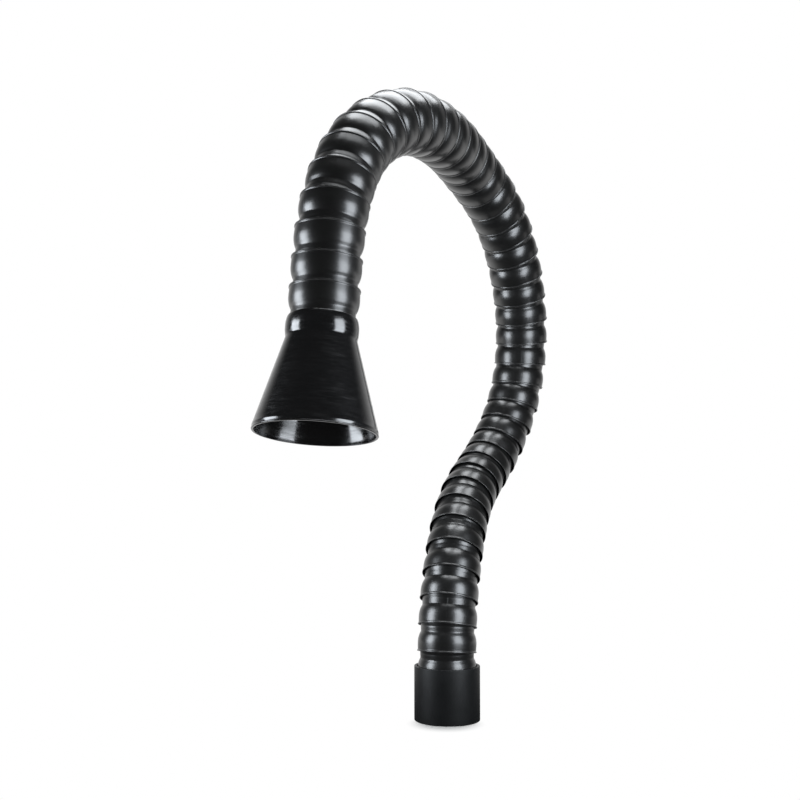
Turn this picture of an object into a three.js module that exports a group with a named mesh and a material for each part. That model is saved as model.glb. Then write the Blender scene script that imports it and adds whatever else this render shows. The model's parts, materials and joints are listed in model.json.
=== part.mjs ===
// Stay-put fume extraction arm: a collar, a chain of ball-and-socket segments and a funnel nozzle.
// Millimetres, +Z up. The origin is the centre of the collar's lower end, on its axis.
// The arm stands in its photographed pose: +X is to the viewer's right and +Y is away from the viewer.
import * as THREE from "three";

// How many segments the arm has, and how many sides each round piece is given.
const SEGMENT_COUNT = 42;
const SEGMENT_SIDES = 20;
const NOZZLE_SIDES = 24;
const COLLAR_SIDES = 32;

// The ball at a segment's outer end. Its open lip reaches past its centre, and the wall there leaves
// the bore that the air runs through.
const BALL_RADIUS = 23.7;
const BALL_REACH = 8.5;
const BALL_LIP_WALL = 1.6;

// The socket over the next ball. The gap lets the flat sides of ball and socket pass each other.
const SOCKET_GAP = 0.8;
const SOCKET_WALL = 1.5;
const SOCKET_STEP_DEG = 18;

// The neck, from the top of a segment's own socket to the centre of its ball.
const NECK_LENGTH = 9.1;

// The skirt below the socket's centre: it flares inside, and ends in a small outer bead. The waist
// starts far enough below the next skirt for that skirt to swing down over it.
const SKIRT_DEPTH = 6;
const SKIRT_SWING = 5;
const BEAD_WALL = 1.1;
const BEAD_HEIGHT = 1.2;
const BEAD_STANDOUT = 0.5;

// The round bulge outside the socket, its shoulder, and the waist between it and the next skirt.
const BULGE_RISE = 0.8;
const SHOULDER_INSET = 0.6;
const WAIST_INSET = 0.3;
const WAIST_MARGIN = 0.2;

// The funnel nozzle: its socket holds the last ball, and its cone ends in a short straight lip.
const NOZZLE_LENGTH = 79.3;
const NOZZLE_MOUTH_RADIUS = 45.6;
const NOZZLE_WALL = 1.8;
const NOZZLE_RIM_WALL = 0.6;
const NOZZLE_RIM_ROUND = 0.5;
const NOZZLE_RIM_BAND = 2.6;
const NOZZLE_BULGE_STANDOUT = 1;
const NOZZLE_CREASE_RISE = 9.4;
const NOZZLE_CREASE_INSET = 0.7;
const NOZZLE_LIP_HEIGHT = 3.4;
const NOZZLE_LIP_STEP = 0.4;

// The collar: the first segment's skirt sits on a ledge in it, and a duct fits into its lower end.
const COLLAR_HEIGHT = 48;
const COLLAR_WALL = 2.5;
const COLLAR_CHAMFER = 0.6;
const COLLAR_LEDGE = 1.4;
const FIRST_SOCKET_SINK = 4.5;
const SEAT_GAP = 0.3;

// Black plastic: matt on the collar, satin on the segments and glossy on the nozzle.
const PLASTIC_COLOUR = 0x222323;
const COLLAR_ROUGHNESS = 0.6;
const SEGMENT_ROUGHNESS = 0.3;
const NOZZLE_ROUGHNESS = 0.18;

// The way the arm points, for the first segment and every third piece after it up to the nozzle:
// degrees of lean from straight up towards the right, then degrees of lean away from the viewer.
const REST_LEANS_DEG = [
  [0, 0],
  [7, 19],
  [17, 40],
  [35, 45],
  [24, 22],
  [7, -1],
  [-8, -22],
  [-23, -35],
  [-49, -48],
  [-80, -67],
  [-102, -59],
  [-137, -43],
  [-163, -26],
  [-175, -4],
  [-177, -8],
];

// Sizes that follow from the ones above. Heights are from the centre of a segment's socket.
const BALL_LIP_RADIUS = Math.sqrt(BALL_RADIUS ** 2 - BALL_REACH ** 2);
const BORE_RADIUS = BALL_LIP_RADIUS - BALL_LIP_WALL;
const SOCKET_RADIUS = BALL_RADIUS + SOCKET_GAP;
const SOCKET_RISE = Math.sqrt(SOCKET_RADIUS ** 2 - BORE_RADIUS ** 2);
const PITCH = SOCKET_RISE + NECK_LENGTH;
const BULGE_RADIUS = SOCKET_RADIUS + SOCKET_WALL;
const BEAD_RADIUS = BULGE_RADIUS + BEAD_STANDOUT;
const NOZZLE_BULGE_RADIUS = BULGE_RADIUS + NOZZLE_BULGE_STANDOUT;
const NOZZLE_CREASE_RADIUS = NOZZLE_BULGE_RADIUS - NOZZLE_CREASE_INSET;
const WAIST_RADIUS = BALL_RADIUS - WAIST_INSET;
const WAIST_RISE = PITCH - SKIRT_DEPTH - SKIRT_SWING;
const SHOULDER_RISE = (BULGE_RISE + WAIST_RISE) / 2;
const COLLAR_BORE_RADIUS = BEAD_RADIUS + SEAT_GAP;
const COLLAR_RADIUS = COLLAR_BORE_RADIUS + COLLAR_WALL;
const DUCT_RADIUS = COLLAR_BORE_RADIUS - COLLAR_LEDGE;
const FIRST_SOCKET_HEIGHT = COLLAR_HEIGHT - FIRST_SOCKET_SINK;
const LEDGE_HEIGHT = FIRST_SOCKET_HEIGHT - SKIRT_DEPTH - SEAT_GAP;

const UP = new THREE.Vector3(0, 0, 1);

// Turns a closed outline of [radius, height] points about the Z axis.
function revolve(outline, sides) {
  const points = [...outline, outline[0]].map(([radius, height]) => new THREE.Vector2(radius, height));
  return new THREE.LatheGeometry(points, sides).rotateX(Math.PI / 2);
}

// The inside of a socket, from the bore down to the socket's centre, in steps round its sphere.
function socketInside() {
  const boreLatitude = Math.asin(SOCKET_RISE / SOCKET_RADIUS);
  const steps = Math.ceil(boreLatitude / THREE.MathUtils.degToRad(SOCKET_STEP_DEG));
  return Array.from({ length: steps + 1 }, (_, step) => {
    const latitude = boreLatitude * (1 - step / steps);
    return [SOCKET_RADIUS * Math.cos(latitude), SOCKET_RADIUS * Math.sin(latitude)];
  });
}

// One segment, with its socket's centre at the origin and its ball's centre at PITCH.
function segmentGeometry() {
  const skirt = [
    [BEAD_RADIUS - BEAD_WALL, -SKIRT_DEPTH],
    [BEAD_RADIUS, -SKIRT_DEPTH],
    [BEAD_RADIUS, -SKIRT_DEPTH + BEAD_HEIGHT],
  ];
  const bulgeAndWaist = [
    [BULGE_RADIUS, BULGE_RISE],
    [BULGE_RADIUS - SHOULDER_INSET, SHOULDER_RISE],
    [WAIST_RADIUS, WAIST_RISE],
    [WAIST_RADIUS, PITCH - SKIRT_DEPTH - WAIST_MARGIN],
  ];
  const ball = [
    [BALL_RADIUS, PITCH],
    [BALL_LIP_RADIUS, PITCH + BALL_REACH],
    [BORE_RADIUS, PITCH + BALL_REACH],
  ];
  return revolve([...skirt, ...bulgeAndWaist, ...ball, ...socketInside()], SEGMENT_SIDES);
}

// The nozzle, with its socket's centre at the origin and its mouth at NOZZLE_LENGTH.
function nozzleGeometry() {
  const lipStart = NOZZLE_LENGTH - NOZZLE_LIP_HEIGHT;
  const rim = [
    [BULGE_RADIUS - NOZZLE_RIM_ROUND - NOZZLE_RIM_WALL, -SKIRT_DEPTH],
    [BULGE_RADIUS - NOZZLE_RIM_ROUND, -SKIRT_DEPTH],
    [(BULGE_RADIUS + NOZZLE_BULGE_RADIUS) / 2, -SKIRT_DEPTH + NOZZLE_RIM_BAND],
  ];
  const bulge = [
    [NOZZLE_BULGE_RADIUS, BULGE_RISE],
    [NOZZLE_BULGE_RADIUS, SHOULDER_RISE],
    [NOZZLE_CREASE_RADIUS, NOZZLE_CREASE_RISE],
  ];
  const mouth = [
    [NOZZLE_MOUTH_RADIUS - NOZZLE_LIP_STEP, lipStart],
    [NOZZLE_MOUTH_RADIUS, lipStart],
    [NOZZLE_MOUTH_RADIUS, NOZZLE_LENGTH],
    [NOZZLE_MOUTH_RADIUS - NOZZLE_WALL, NOZZLE_LENGTH],
  ];
  const throat = [[NOZZLE_CREASE_RADIUS - NOZZLE_WALL, SOCKET_RISE + NOZZLE_WALL]];
  return revolve([...rim, ...bulge, ...mouth, ...throat, ...socketInside()], NOZZLE_SIDES);
}

// The collar, standing on the origin.
function collarGeometry() {
  const outside = [
    [COLLAR_RADIUS - COLLAR_CHAMFER, 0],
    [COLLAR_RADIUS, COLLAR_CHAMFER],
    [COLLAR_RADIUS, COLLAR_HEIGHT - COLLAR_CHAMFER],
    [COLLAR_RADIUS - COLLAR_CHAMFER, COLLAR_HEIGHT],
  ];
  const inside = [
    [COLLAR_BORE_RADIUS, COLLAR_HEIGHT],
    [COLLAR_BORE_RADIUS, LEDGE_HEIGHT],
    [DUCT_RADIUS, LEDGE_HEIGHT],
    [DUCT_RADIUS, 0],
  ];
  return revolve([...outside, ...inside], COLLAR_SIDES);
}

function blackPlastic(roughness) {
  return new THREE.MeshStandardMaterial({ color: PLASTIC_COLOUR, roughness, metalness: 0 });
}

function namedMesh(name, geometry, roughness) {
  const mesh = new THREE.Mesh(geometry, blackPlastic(roughness));
  mesh.name = name;
  return mesh;
}

// The unit vector of a pair of leans.
function leanDirection([rightDeg, awayDeg]) {
  const right = THREE.MathUtils.degToRad(rightDeg);
  const away = THREE.MathUtils.degToRad(awayDeg);
  return new THREE.Vector3(Math.sin(right), 0, Math.cos(right))
    .multiplyScalar(Math.cos(away))
    .setY(Math.sin(away));
}

// The direction of every piece from the first segment to the nozzle, on a smooth curve.
function pieceDirections() {
  const curve = new THREE.CatmullRomCurve3(REST_LEANS_DEG.map(leanDirection), false, "catmullrom");
  return Array.from({ length: SEGMENT_COUNT + 1 }, (_, index) =>
    curve.getPoint(index / SEGMENT_COUNT).normalize(),
  );
}

// A group for each piece, on the ball of the one before it and tilted from it without twist.
function jointChain(base) {
  const turned = new THREE.Quaternion();
  let carrier = base;
  return pieceDirections().map((direction, index) => {
    const joint = new THREE.Group();
    joint.position.z = index === 0 ? FIRST_SOCKET_HEIGHT : PITCH;
    joint.quaternion.setFromUnitVectors(UP, direction.applyQuaternion(turned.clone().invert()));
    turned.multiply(joint.quaternion);
    carrier.add(joint);
    carrier = joint;
    return joint;
  });
}

const arm = new THREE.Group();
arm.add(namedMesh("base_collar", collarGeometry(), COLLAR_ROUGHNESS));

const joints = jointChain(arm);
const segment = segmentGeometry();
joints.slice(0, SEGMENT_COUNT).forEach((joint, index) => {
  const number = String(index + 1).padStart(2, "0");
  joint.add(namedMesh(`segment_${number}`, segment, SEGMENT_ROUGHNESS));
});
joints[SEGMENT_COUNT].add(namedMesh("funnel_nozzle", nozzleGeometry(), NOZZLE_ROUGHNESS));

export default arm;
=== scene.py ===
import json
import math

import bmesh
import bpy
from mathutils import Matrix, Vector


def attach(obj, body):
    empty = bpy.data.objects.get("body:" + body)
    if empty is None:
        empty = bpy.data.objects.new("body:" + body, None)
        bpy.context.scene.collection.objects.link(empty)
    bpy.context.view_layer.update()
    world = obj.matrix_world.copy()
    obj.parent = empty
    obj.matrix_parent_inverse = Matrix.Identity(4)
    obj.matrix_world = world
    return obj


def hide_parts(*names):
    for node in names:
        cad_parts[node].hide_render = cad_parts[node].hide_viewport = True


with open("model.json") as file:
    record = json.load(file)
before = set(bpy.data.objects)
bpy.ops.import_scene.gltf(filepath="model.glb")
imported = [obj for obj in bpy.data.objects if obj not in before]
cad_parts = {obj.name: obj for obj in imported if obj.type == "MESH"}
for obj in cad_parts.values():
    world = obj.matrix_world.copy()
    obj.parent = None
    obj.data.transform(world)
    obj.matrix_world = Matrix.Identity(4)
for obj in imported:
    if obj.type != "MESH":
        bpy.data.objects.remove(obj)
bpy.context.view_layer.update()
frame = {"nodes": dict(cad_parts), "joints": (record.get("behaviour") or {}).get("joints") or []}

MM = 0.001
SEGMENT_COUNT = 42

# Points of a node that agree to so many decimals of a metre are one point.
POINT_DECIMALS = 5

# Sizes of the pieces in millimetres. Heights are from the centre of a piece's own socket, and on
# the collar from its lower end. The ball's round starts a little below its middle and ends just
# short of its lip.
PITCH = 22.48
BALL_RADIUS = 24.75
BALL_REACH = 8.5
BALL_START_DEG = -12
BALL_EDGE_DEG = 1.0
BALL_LIP_RADIUS = 22.6
BORE_RADIUS = 20.52
BORE_CHAMFER = 0.3
SOCKET_RADIUS = 25.1
SOCKET_RISE = 14.45
SKIRT_DEPTH = 6.0
SKIRT_INNER_RADIUS = 25.95
BEAD_RADIUS = 26.5
BEAD_ROUND = 0.25
BEAD_UPPER_ROUND_HEIGHT = -5.1
WAIST_RADIUS = 24.0
NOZZLE_LENGTH = 79.3
NOZZLE_MOUTH_RADIUS = 45.6
NOZZLE_WALL = 1.8
NOZZLE_LIP_ROUND = 0.5
NOZZLE_LIP_INNER_ROUND = 0.35
COLLAR_HEIGHT = 48.0
COLLAR_RADIUS = 29.3
COLLAR_FOOT_ROUND = 0.5
COLLAR_TOP_ROUND = 0.45
COLLAR_BORE_RADIUS = 26.8
COLLAR_BORE_ROUND = 0.4
COLLAR_LEDGE_HEIGHT = 37.2
DUCT_RADIUS = 25.4
DUCT_CHAMFER = 0.6
FIRST_SOCKET_HEIGHT = 43.5

# Round pieces: columns round the axis, steps along the curves of their outlines, and the angle
# from which an edge is sharp.
SEGMENT_COLUMNS = 88
NOZZLE_COLUMNS = 144
COLLAR_COLUMNS = 128
CURVE_STEPS = 5
SOCKET_STEPS = 8
BALL_STEPS = 10
CONE_STEPS = 16
SHARP_DEG = 38

# The fine groove that the mould leaves along a segment's wall: its size, the heights that it runs
# between and the radius that it stays outside of.
SEAM_HALF_WIDTH = 0.3
SEAM_EDGE = 0.15
SEAM_DEPTH = 0.1
SEAM_HEIGHTS = (-4.4, 16.4)
SEAM_LEAST_RADIUS = WAIST_RADIUS - 0.2

# Where the groove of a segment stands, in degrees from the side that faces the viewer. On the
# other segments its place is made up: each is turned a fixed angle from the one before it.
SEAM_DEG = {3: -6, 4: 46, 7: 30, 12: 40, 15: 52, 16: 60, 20: 35, 41: -62}
SEAM_START_DEG = 180
SEAM_TURN_DEG = 137.5

# The plastic at the bead's edges, partly scuffed and partly a painted highlight: a lighter colour
# that paints a highlight line along each bead, and a lower roughness where the edge is polished.
HIGHLIGHT_AND_WEAR_COLOUR = (0.07, 0.07, 0.07)
WORN_ROUGHNESS = 0.16

# Noise in the plastic: how many to a metre, how detailed, and the part of its values that is used.
# The drift is in the tone, the smear in the gloss and the grain in the surface.
DRIFT_PER_METRE = 34
DRIFT_DETAIL = 5
DRIFT_SPAN = (0.32, 0.7)
SMEAR_PER_METRE = 90
SMEAR_DETAIL = 4
SMEAR_DISTORTION = 0.6
SMEAR_SPAN = (0.3, 0.72)
GRAIN_DETAIL = 3
GRAIN_STRENGTH = 0.5

# The fine rings in the nozzle's gloss: long round the axis and short along it.
RING_STRETCH = (1.0, 1.0, 0.12)

# A Mix node has its sockets once for each kind of value. These are the ones for colours.
MIX_COLOUR_A = 6
MIX_COLOUR_B = 7
MIX_COLOUR_RESULT = 2

# The studio in metres: a floor that is painted grey round a place at the collar's foot, a painted
# shadow where the lamps' shadow lies, and turns white between two distances from there.
FLOOR_REACH = 6
PAINTED_SHADOW_AT_FOOT = (0.54, 0.525, 0.507)
SHADOW_PLACE = (-0.002, -0.018, 0)
SHADOW_FADES = (0.014, 0.036)

# The light that comes from all round.
WORLD_FILL = 0.2

# How the studio looks in the gloss: dark in front, and white where floor and backdrop meet behind
# the arm. The floor turns white between two distances behind, and the room between two directions
# away from the viewer.
DARK_IN_GLOSS = 0.03
FLOOR_TURNS_WHITE = (-0.05, 0.7)
ROOM_TURNS_WHITE = (0.3, 1.0)

# The colour of the lamps overhead and at the sides.
DAYLIGHT = (0.94, 0.97, 1.0)
COOL_DAYLIGHT = (0.88, 0.935, 1.0)

# The camera: its place in metres, its tilt from looking straight down, and its lens.
CAMERA_PLACE = (-0.042, -0.9127, 0.1964)
CAMERA_TILT_DEG = 92.18
SENSOR_MM = 36
LENS_MM = 45.72
LENS_SHIFT_UP = 0.075


def arc(centre, radius, start_deg, end_deg, steps):
    """Points of a circle in (radius, height), from one angle to the other."""
    points = []
    for step in range(steps + 1):
        angle = math.radians(start_deg + (end_deg - start_deg) * step / steps)
        points.append((centre[0] + radius * math.cos(angle), centre[1] + radius * math.sin(angle)))
    return points


def smooth(points):
    """A curve through all the points (Catmull-Rom), in a few steps from each to the next."""
    padded = [points[0], *points, points[-1]]
    curve = []
    for i in range(1, len(padded) - 2):
        a, b, c, d = (Vector(p) for p in padded[i - 1:i + 3])
        for step in range(CURVE_STEPS):
            t = step / CURVE_STEPS
            curve.append(tuple(0.5 * (2 * b + (c - a) * t + (2 * a - 5 * b + 4 * c - d) * t ** 2
                                      + (3 * b - a - 3 * c + d) * t ** 3)))
    return [*curve, tuple(points[-1])]


def revolve(name, outline, columns, seam=None, highlit_and_worn=()):
    """Turns a closed outline of (radius, height) in mm about Z. seam gives the heights of a mould
    line, and highlit_and_worn the points of the outline that are made lighter, partly scuffed and
    partly a painted highlight."""
    angles = [math.tau * column / columns for column in range(columns)]
    if seam:
        side = SEAM_HALF_WIDTH / BEAD_RADIUS
        edge = (SEAM_HALF_WIDTH + SEAM_EDGE) / BEAD_RADIUS
        angles = [0.0, side, edge, *angles[1:], math.tau - edge, math.tau - side]
    vertices = []
    for angle in angles:
        for radius, height in outline:
            if seam and angle == 0 and radius > SEAM_LEAST_RADIUS and seam[0] < height < seam[1]:
                radius -= SEAM_DEPTH
            r = radius * MM
            vertices.append((r * math.sin(angle), -r * math.cos(angle), height * MM))
    count, n = len(angles), len(outline)
    faces = []
    for c in range(count):
        d = (c + 1) % count
        for p in range(n):
            q = (p + 1) % n
            faces.append((c * n + p, d * n + p, d * n + q, c * n + q))
    mesh = bpy.data.meshes.new(name)
    mesh.from_pydata(vertices, [], faces)
    work = bmesh.new()
    work.from_mesh(mesh)
    bmesh.ops.recalc_face_normals(work, faces=work.faces)
    work.to_mesh(mesh)
    work.free()
    mesh.shade_smooth()
    mesh.set_sharp_from_angle(angle=math.radians(SHARP_DEG))
    # Painted highlight: the bead's edge points are marked to take a lighter colour, a highlight
    # line along each bead that is partly scuffing.
    wear_and_highlight = [float(point in highlit_and_worn) for point in outline] * count
    mesh.attributes.new("wear_and_highlight", "FLOAT", "POINT").data.foreach_set("value", wear_and_highlight)
    return mesh


def socket_inside():
    """The inside of a socket, from the bore down to the socket's centre."""
    top_deg = math.degrees(math.asin(SOCKET_RISE / SOCKET_RADIUS))
    return arc((0, 0), SOCKET_RADIUS, top_deg, 0, SOCKET_STEPS)


def segment_outline():
    """The outline of a segment, and the points of it that are made lighter, partly scuffed by
    handling and partly a painted highlight line: the two edges of the bead at the skirt's rim."""
    round_radius = BEAD_RADIUS - BEAD_ROUND
    lower_edge = arc((round_radius, BEAD_ROUND - SKIRT_DEPTH), BEAD_ROUND, -90, 0, steps=5)
    upper_edge = arc((round_radius, BEAD_UPPER_ROUND_HEIGHT), BEAD_ROUND, 0, 70, steps=5)
    bead = [(SKIRT_INNER_RADIUS, -SKIRT_DEPTH), *lower_edge, (BEAD_RADIUS, -5.42), *upper_edge,
            (26.2, -4.75), (26.03, -4.5)]
    bulge = smooth([(25.98, -4.1), (26.08, -2.2), (26.2, 0.7), (26.17, 3.2), (25.82, 5.9),
                    (25.15, 8.4), (24.36, 10.2), (23.86, 11.45), (23.86, 12.9),
                    (WAIST_RADIUS, 15.0), (WAIST_RADIUS, 16.4)])
    ball_end_deg = math.degrees(math.asin(BALL_REACH / BALL_RADIUS)) - BALL_EDGE_DEG
    ball = arc((0, PITCH), BALL_RADIUS, BALL_START_DEG, ball_end_deg, BALL_STEPS)
    ball_top = PITCH + BALL_REACH
    lip = [(BALL_LIP_RADIUS, ball_top), (BORE_RADIUS + BORE_CHAMFER, ball_top),
           (BORE_RADIUS, ball_top - BORE_CHAMFER)]
    flare = [(25.3, -2.0), (25.5, -4.2), (25.79, -5.8)]
    outline = [*bead, *bulge, *ball, *lip, *socket_inside(), *flare]
    return outline, [*lower_edge[1:-1], *upper_edge[1:-1]]


def nozzle_outline():
    bulge = smooth([(25.47, -5.87), (25.64, -5.9), (25.98, -5.25), (26.4, -3.8), (26.8, -1.6),
                    (27.0, 1.0), (27.0, 3.6), (26.8, 6.0), (26.48, 8.1), (26.4, 9.8),
                    (26.85, 11.8), (27.6, 14.4)])
    cone_start, cone_end = Vector((28.17, 16.4)), Vector((45.12, 75.6))
    cone = [tuple(cone_start.lerp(cone_end, step / CONE_STEPS)) for step in range(CONE_STEPS + 1)]
    inner_radius = NOZZLE_MOUTH_RADIUS - NOZZLE_WALL
    outer_round = (NOZZLE_MOUTH_RADIUS - NOZZLE_LIP_ROUND, NOZZLE_LENGTH - NOZZLE_LIP_ROUND)
    inner_round = (inner_radius + NOZZLE_LIP_INNER_ROUND, NOZZLE_LENGTH - NOZZLE_LIP_INNER_ROUND)
    lip = [(45.3, 75.95), (45.34, 76.4), (45.34, 78.2),
           *arc(outer_round, NOZZLE_LIP_ROUND, -50, 90, steps=10),
           *arc(inner_round, NOZZLE_LIP_INNER_ROUND, 90, 180, steps=5)]
    throat = [(inner_radius, 77.7), (43.4, 75.6), (41.0, 67.5), (34.8, 45.8), (28.6, 24.0),
              (25.6, 14.8), (24.6, 13.9), (22.0, 13.7)]
    flare = [(25.15, -2.0), (25.36, -5.65)]
    return [*bulge, *cone, *lip, *throat, *socket_inside(), *flare]


def collar_outline():
    foot_round = (COLLAR_RADIUS - COLLAR_FOOT_ROUND, COLLAR_FOOT_ROUND)
    top_round = (COLLAR_RADIUS - COLLAR_TOP_ROUND, COLLAR_HEIGHT - COLLAR_TOP_ROUND)
    bore_round = (COLLAR_BORE_RADIUS + COLLAR_BORE_ROUND, COLLAR_HEIGHT - COLLAR_BORE_ROUND)
    outside = [*arc(foot_round, COLLAR_FOOT_ROUND, -90, 0, steps=6),
               *arc(top_round, COLLAR_TOP_ROUND, 0, 90, steps=6)]
    inside = [*arc(bore_round, COLLAR_BORE_ROUND, 90, 180, steps=5),
              (COLLAR_BORE_RADIUS, COLLAR_LEDGE_HEIGHT), (DUCT_RADIUS, COLLAR_LEDGE_HEIGHT),
              (DUCT_RADIUS, DUCT_CHAMFER), (DUCT_RADIUS + DUCT_CHAMFER, 0)]
    return [*outside, *inside]


def noise(tree, where, per_metre, detail, distortion=0.0):
    """Noise at a place, as a value from 0 to 1."""
    node = tree.nodes.new("ShaderNodeTexNoise")
    node.inputs["Scale"].default_value = per_metre
    node.inputs["Detail"].default_value = detail
    node.inputs["Distortion"].default_value = distortion
    tree.links.new(where, node.inputs["Vector"])
    return node.outputs["Fac"]


def spread(tree, value, before, after, interpolation="LINEAR"):
    """A value that runs from one limit to the other, spread between two new limits."""
    node = tree.nodes.new("ShaderNodeMapRange")
    node.interpolation_type = interpolation
    node.inputs["From Min"].default_value, node.inputs["From Max"].default_value = before
    node.inputs["To Min"].default_value, node.inputs["To Max"].default_value = after
    tree.links.new(value, node.inputs["Value"])
    return node.outputs["Result"]


def plastic(name, dark, light, roughness, grain_size, grain_depth, specular, rings=None):
    """Moulded plastic: slow drifts of tone and gloss, places made lighter as a painted highlight
    that are partly scuffed, and a fine moulded grain.
    rings is the matrix of a piece whose gloss runs round its axis in fine rings."""
    material = bpy.data.materials.new(name)
    material.use_nodes = True
    tree = material.node_tree
    shader = tree.nodes["Principled BSDF"]
    shader.inputs["Specular IOR Level"].default_value = specular
    where = tree.nodes.new("ShaderNodeTexCoord").outputs["Object"]
    wear_and_highlight = tree.nodes.new("ShaderNodeAttribute")
    wear_and_highlight.attribute_name = "wear_and_highlight"

    tone = tree.nodes.new("ShaderNodeValToRGB")
    for element, position, colour in zip(tone.color_ramp.elements, DRIFT_SPAN, (dark, light)):
        element.position = position
        element.color = (*colour, 1)
    tree.links.new(noise(tree, where, DRIFT_PER_METRE, DRIFT_DETAIL), tone.inputs["Fac"])
    highlight_and_wear_tint = tree.nodes.new("ShaderNodeMix")
    highlight_and_wear_tint.data_type = "RGBA"
    # Painted highlight: a lighter colour on the bead's edges stands for the highlight line along
    # each bead, and is partly scuffing as well.
    highlight_and_wear_tint.inputs[MIX_COLOUR_B].default_value = (*HIGHLIGHT_AND_WEAR_COLOUR, 1)
    tree.links.new(wear_and_highlight.outputs["Fac"], highlight_and_wear_tint.inputs["Factor"])
    tree.links.new(tone.outputs["Color"], highlight_and_wear_tint.inputs[MIX_COLOUR_A])
    tree.links.new(highlight_and_wear_tint.outputs[MIX_COLOUR_RESULT], shader.inputs["Base Color"])

    smeared = where
    if rings:
        turned = tree.nodes.new("ShaderNodeMapping")
        turned.vector_type = "TEXTURE"
        turned.inputs["Location"].default_value = rings.to_translation()
        turned.inputs["Rotation"].default_value = rings.to_euler()
        turned.inputs["Scale"].default_value = RING_STRETCH
        tree.links.new(where, turned.inputs["Vector"])
        smeared = turned.outputs["Vector"]
    smear = noise(tree, smeared, SMEAR_PER_METRE, SMEAR_DETAIL, SMEAR_DISTORTION)
    polished = tree.nodes.new("ShaderNodeMix")
    polished.inputs["B"].default_value = WORN_ROUGHNESS
    tree.links.new(wear_and_highlight.outputs["Fac"], polished.inputs["Factor"])
    tree.links.new(spread(tree, smear, SMEAR_SPAN, roughness), polished.inputs["A"])
    tree.links.new(polished.outputs["Result"], shader.inputs["Roughness"])

    bump = tree.nodes.new("ShaderNodeBump")
    bump.inputs["Strength"].default_value = GRAIN_STRENGTH
    bump.inputs["Distance"].default_value = grain_depth
    tree.links.new(noise(tree, where, 1 / grain_size, GRAIN_DETAIL), bump.inputs["Height"])
    tree.links.new(bump.outputs["Normal"], shader.inputs["Normal"])
    return material


def placed(origin, direction, turn_deg):
    """The matrix of a piece: its own +Z along direction, and its -Y side towards the viewer before
    the turn."""
    z = direction.normalized()
    x = Vector((0, 1, 0)).cross(z).normalized()
    y = z.cross(x)
    turn = Matrix((x, y, z)).transposed().to_4x4()
    return Matrix.Translation(origin) @ turn @ Matrix.Rotation(math.radians(turn_deg), 4, "Z")


def add_piece(name, mesh, matrix, body, node, material):
    mesh.transform(matrix)
    mesh.materials.append(material)
    piece = bpy.data.objects.new(name, mesh)
    bpy.context.scene.collection.objects.link(piece)
    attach(piece, body)
    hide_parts(node)


def socket_centres():
    """The centre of every piece's socket, from the first segment to the nozzle."""
    centre_of = {joint["child"]: Vector(joint["pos_m"]) for joint in frame["joints"]}
    moving = [f"segment_{number:02d}" for number in range(2, SEGMENT_COUNT + 1)]
    first = Vector((0, 0, FIRST_SOCKET_HEIGHT * MM))
    return [first, *(centre_of[body] for body in (*moving, "nozzle"))]


def middle_of(node):
    """The middle of a node's points. A point that several faces have counts once."""
    vertices = frame["nodes"][node].data.vertices
    points = {tuple(round(x, POINT_DECIMALS) for x in vertex.co) for vertex in vertices}
    return sum((Vector(point) for point in points), Vector()) / len(points)


def add_collar():
    material = plastic("matt_black_plastic", dark=(0.0042, 0.0047, 0.0051),
                       light=(0.006, 0.0066, 0.0071), roughness=(0.42, 0.5),
                       grain_size=0.0006, grain_depth=0.00002, specular=0.4)
    mesh = revolve("collar", collar_outline(), COLLAR_COLUMNS)
    add_piece("collar", mesh, Matrix.Identity(4), "base", "base_collar", material)


def add_segments(centres):
    material = plastic("satin_black_plastic", dark=(0.0052, 0.0052, 0.005),
                       light=(0.0064, 0.0064, 0.0061), roughness=(0.285, 0.31),
                       grain_size=0.0005, grain_depth=0.0000006, specular=0.95)
    outline, highlit_and_worn = segment_outline()
    mesh = revolve("segment", outline, SEGMENT_COLUMNS, SEAM_HEIGHTS, highlit_and_worn)
    for number in range(1, SEGMENT_COUNT + 1):
        node = f"segment_{number:02d}"
        origin = centres[number - 1]
        turn_deg = SEAM_DEG.get(number, SEAM_START_DEG + SEAM_TURN_DEG * number)
        place = placed(origin, centres[number] - origin, turn_deg)
        body = node if number > 1 else "base"
        add_piece(f"arm_{node}", mesh.copy(), place, body, node, material)


def add_nozzle(centre):
    place = placed(centre, middle_of("funnel_nozzle") - centre, 0)
    material = plastic("gloss_black_plastic", dark=(0.0048, 0.0049, 0.0052),
                       light=(0.006, 0.0061, 0.0064), roughness=(0.09, 0.26),
                       grain_size=0.0016, grain_depth=0.000002, specular=0.95, rings=place)
    mesh = revolve("nozzle", nozzle_outline(), NOZZLE_COLUMNS)
    add_piece("nozzle", mesh, place, "nozzle", "funnel_nozzle", material)


def ray_is(tree, *kinds):
    """1 for rays of any of these kinds, and 0 for the rest."""
    path = tree.nodes.new("ShaderNodeLightPath")
    found = path.outputs[kinds[0]]
    for kind in kinds[1:]:
        either = tree.nodes.new("ShaderNodeMath")
        either.operation = "MAXIMUM"
        tree.links.new(found, either.inputs[0])
        tree.links.new(path.outputs[kind], either.inputs[1])
        found = either.outputs["Value"]
    return found


def mixed(tree, factor, first, second):
    """One shader where the factor is 0, and another where it is 1."""
    node = tree.nodes.new("ShaderNodeMixShader")
    tree.links.new(factor, node.inputs["Fac"])
    tree.links.new(first, node.inputs[1])
    tree.links.new(second, node.inputs[2])
    return node.outputs["Shader"]


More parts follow.
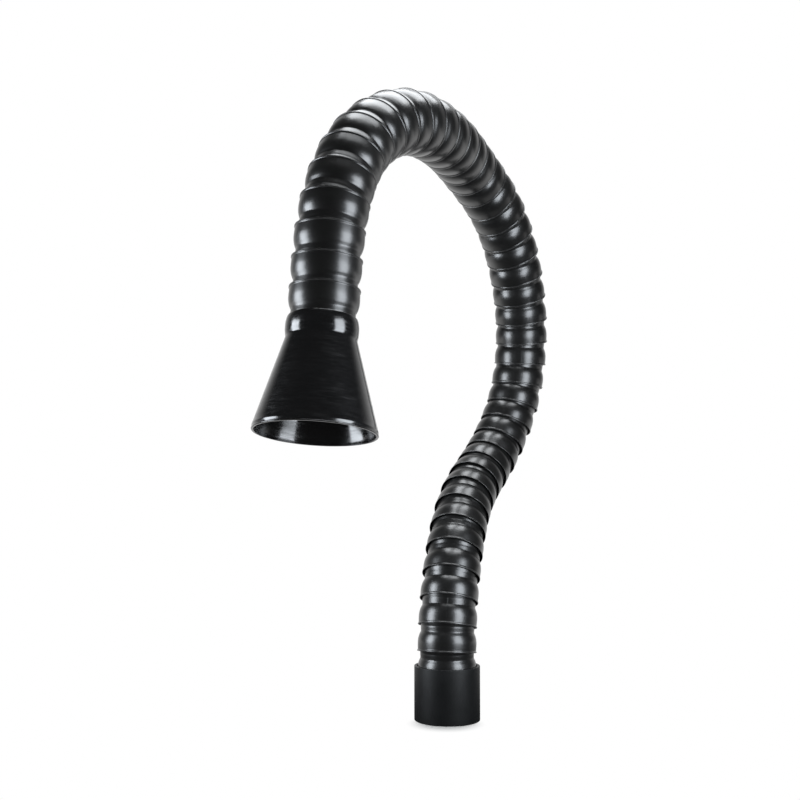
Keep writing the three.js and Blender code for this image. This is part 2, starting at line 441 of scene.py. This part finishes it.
def floor_material():
    """Floor that keeps the shadow at the collar's foot, darkened there by a painted grey shadow,
    and runs out into the white backdrop.
    """
    material = bpy.data.materials.new("white_floor")
    material.use_nodes = True
    tree = material.node_tree
    tree.nodes.remove(tree.nodes["Principled BSDF"])
    where = tree.nodes.new("ShaderNodeTexCoord").outputs["Object"]

    # Painted shadow: the floor's colour is grey round the collar's foot and fades to the white
    # further out.
    painted_shadow_floor = tree.nodes.new("ShaderNodeBsdfDiffuse")
    painted_shadow_floor.inputs["Color"].default_value = (*PAINTED_SHADOW_AT_FOOT, 1)
    far = tree.nodes.new("ShaderNodeEmission")
    distance = tree.nodes.new("ShaderNodeVectorMath")
    distance.operation = "DISTANCE"
    distance.inputs[1].default_value = SHADOW_PLACE
    tree.links.new(where, distance.inputs[0])
    fade = spread(tree, distance.outputs["Value"], SHADOW_FADES, (0, 1), "SMOOTHSTEP")
    white = tree.nodes.new("ShaderNodeMath")
    white.operation = "MULTIPLY"
    tree.links.new(fade, white.inputs[0])
    tree.links.new(ray_is(tree, "Is Camera Ray", "Is Transmission Ray"), white.inputs[1])
    seen = mixed(tree, white.outputs["Value"], painted_shadow_floor.outputs["BSDF"], far.outputs["Emission"])

    across = tree.nodes.new("ShaderNodeSeparateXYZ")
    tree.links.new(where, across.inputs["Vector"])
    shade = spread(tree, across.outputs["Y"], FLOOR_TURNS_WHITE, (DARK_IN_GLOSS, 1), "SMOOTHSTEP")
    in_gloss = tree.nodes.new("ShaderNodeEmission")
    tree.links.new(shade, in_gloss.inputs["Strength"])
    surface = mixed(tree, ray_is(tree, "Is Glossy Ray"), seen, in_gloss.outputs["Emission"])
    tree.links.new(surface, tree.nodes["Material Output"].inputs["Surface"])
    return material


def add_floor():
    mesh = bpy.data.meshes.new("floor")
    corners = [(-FLOOR_REACH, -FLOOR_REACH, 0), (FLOOR_REACH, -FLOOR_REACH, 0),
               (FLOOR_REACH, FLOOR_REACH, 0), (-FLOOR_REACH, FLOOR_REACH, 0)]
    mesh.from_pydata(corners, [], [(0, 1, 2, 3)])
    mesh.materials.append(floor_material())
    floor = bpy.data.objects.new("floor", mesh)
    bpy.context.scene.collection.objects.link(floor)


def add_world():
    """White behind everything the camera sees. In the gloss, a white backdrop behind the arm and a
    dark room."""
    world = bpy.data.worlds.new("white_studio")
    bpy.context.scene.world = world
    world.use_nodes = True
    tree = world.node_tree
    background = tree.nodes["Background"]
    background.inputs["Color"].default_value = (1, 1, 1, 1)
    way = tree.nodes.new("ShaderNodeSeparateXYZ")
    tree.links.new(tree.nodes.new("ShaderNodeTexCoord").outputs["Generated"], way.inputs["Vector"])
    room = spread(tree, way.outputs["Y"], ROOM_TURNS_WHITE, (DARK_IN_GLOSS, 1), "SMOOTHSTEP")
    lit = tree.nodes.new("ShaderNodeMix")
    lit.inputs["A"].default_value = WORLD_FILL
    tree.links.new(ray_is(tree, "Is Glossy Ray"), lit.inputs["Factor"])
    tree.links.new(room, lit.inputs["B"])
    seen = tree.nodes.new("ShaderNodeMix")
    seen.inputs["B"].default_value = 1
    tree.links.new(ray_is(tree, "Is Camera Ray", "Is Transmission Ray"), seen.inputs["Factor"])
    tree.links.new(lit.outputs["Result"], seen.inputs["A"])
    tree.links.new(seen.outputs["Result"], background.inputs["Strength"])


def add_softbox(name, place, aim, width, height, brightness, colour):
    lamp = bpy.data.lights.new(name, "AREA")
    lamp.color = colour
    lamp.shape = "RECTANGLE"
    lamp.size = width
    lamp.size_y = height
    lamp.energy = brightness * math.pi * width * height
    box = bpy.data.objects.new(name, lamp)
    bpy.context.scene.collection.objects.link(box)
    box.location = place
    box.rotation_euler = (Vector(aim) - Vector(place)).to_track_quat("-Z", "Y").to_euler()
    box.visible_camera = False


def add_softboxes():
    add_softbox("left_softbox", place=(-0.75, -0.22, 0.33), aim=(0, -0.05, 0.33),
                width=0.36, height=0.5, brightness=9.4, colour=COOL_DAYLIGHT)
    add_softbox("right_softbox", place=(0.42, -0.46, 0.33), aim=(-0.03, -0.05, 0.33),
                width=0.34, height=0.5, brightness=7.8, colour=COOL_DAYLIGHT)
    add_softbox("top_softbox", place=(0.1, 0.1, 1.2), aim=(0.1, 0.1, 0.5),
                width=0.8, height=0.62, brightness=6.6, colour=DAYLIGHT)
    add_softbox("front_top_softbox", place=(0.1, -0.36, 1.2), aim=(0.1, -0.36, 0.5),
                width=0.5, height=0.22, brightness=2.2, colour=DAYLIGHT)


def add_camera():
    """The photograph's view: low in front of the arm, looking level and a little up."""
    lens = bpy.data.cameras.new("camera")
    lens.sensor_width = SENSOR_MM
    lens.lens = LENS_MM
    lens.shift_y = LENS_SHIFT_UP
    camera = bpy.data.objects.new("camera", lens)
    bpy.context.scene.collection.objects.link(camera)
    camera.location = CAMERA_PLACE
    camera.rotation_euler = (math.radians(CAMERA_TILT_DEG), 0, 0)
    bpy.context.scene.camera = camera


centres = socket_centres()
add_collar()
add_segments(centres)
add_nozzle(centres[-1])
add_floor()
add_world()
add_softboxes()
add_camera()
bpy.context.scene.view_settings.view_transform = "Standard"
